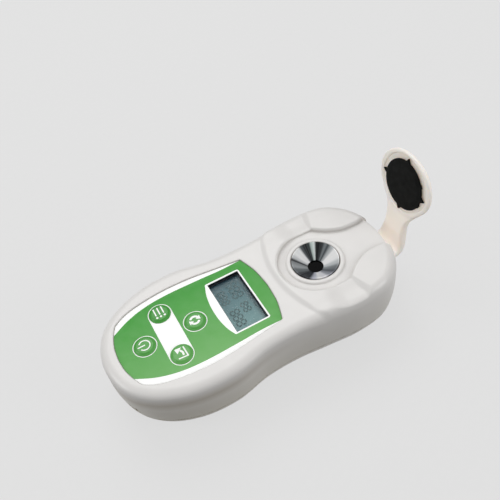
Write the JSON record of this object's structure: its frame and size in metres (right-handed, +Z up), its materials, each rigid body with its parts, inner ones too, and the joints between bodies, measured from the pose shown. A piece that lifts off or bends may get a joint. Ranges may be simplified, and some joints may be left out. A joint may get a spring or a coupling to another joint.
{
  "type": "digital refractometer",
  "caption": "Handheld digital refractometer with keypad, display, conical steel sample well and a hinged light-shield lid, shown open.",
  "frame": {"origin": "middle of the flat underside, halfway along the casing", "axes": "+X along the casing from the keypad end to the lid end, +Z up out of the keypad, +Y to the left when looking from the keypad end"},
  "size_m": [0.1503, 0.0626, 0.0683],
  "materials": {
    "casing_white": "satin gloss moulded ABS",
    "lid_cream": "satin, slightly translucent off-white plastic",
    "label_green": "satin printed polyester with white borders",
    "key_green": "satin printed polyester, embossed, with white symbols",
    "rubber_black": "matt black elastomer",
    "rubber_grey": "matt grey elastomer",
    "steel": "bright turned stainless steel",
    "optical_glass": "polished dark optical glass",
    "clear_plastic": "clear polished acrylic",
    "display_glass": "grey-green reflective liquid crystal panel",
    "board_green": "solder-masked glass-fibre laminate",
    "plastic_black": "fine-textured black moulding",
    "nickel": "nickel-plated spring steel",
    "cell_wrap": "plain shrink sleeve"
  },
  "bodies": {
    "casing": {"top_shell": "casing_white", "bottom_shell": "casing_white", "case_gasket": "rubber_grey", "graphic_label": "label_green", "display_window": "clear_plastic", "lcd_panel": "display_glass", "lcd_connector_rear": "rubber_grey", "lcd_connector_front": "rubber_grey", "main_board": "board_green", "sample_cup": "steel", "cup_seal": "rubber_black", "measuring_prism": "optical_glass", "optics_block": "plastic_black", "lamp": "clear_plastic", "focus_lens": "clear_plastic", "detector_board": "board_green", "detector": "plastic_black", "sensor_flex": "nickel", "temperature_sensor": "plastic_black", "battery_left": "cell_wrap", "battery_right": "cell_wrap", "contact_bridge": "nickel", "contact_positive": "nickel", "contact_negative": "nickel", "contact_spring_left": "nickel", "contact_spring_right": "nickel", "hinge_pin": "steel", "strap_bar": "steel", "key_switch_power": "plastic_black", "key_switch_cycle": "plastic_black", "key_switch_list": "plastic_black", "key_switch_export": "plastic_black", "case_screw_rear_left": "steel", "case_screw_rear_right": "steel", "case_screw_front_left": "steel", "case_screw_front_right": "steel"},
    "lid": {"lid_cover": "lid_cream", "lid_pad": "rubber_black"},
    "battery_door": {"battery_door": "casing_white"},
    "key_power": {"key_power": "key_green"},
    "key_cycle": {"key_cycle": "key_green"},
    "key_list": {"key_list": "key_green"},
    "key_export": {"key_export": "key_green"}
  },
  "joints": [
    {"name": "lid_hinge", "type": "hinge", "parent": "casing", "child": "lid", "pos_m": [0.0639, 0, 0.0236], "axis": [0, -1, 0], "range_deg": [0, 98]},
    {"name": "battery_door_slide", "type": "slide", "parent": "casing", "child": "battery_door", "axis": [-1, 0, 0], "range_m": [0, 0.054]},
    {"name": "key_power_press", "type": "slide", "parent": "casing", "child": "key_power", "axis": [0, 0, -1], "range_m": [0, 0.0004], "stiffness_N_per_m": 600},
    {"name": "key_cycle_press", "type": "slide", "parent": "casing", "child": "key_cycle", "axis": [0, 0, -1], "range_m": [0, 0.0004], "stiffness_N_per_m": 600},
    {"name": "key_list_press", "type": "slide", "parent": "casing", "child": "key_list", "axis": [0, 0, -1], "range_m": [0, 0.0004], "stiffness_N_per_m": 600},
    {"name": "key_export_press", "type": "slide", "parent": "casing", "child": "key_export", "axis": [0, 0, -1], "range_m": [0, 0.0004], "stiffness_N_per_m": 600}
  ]
}
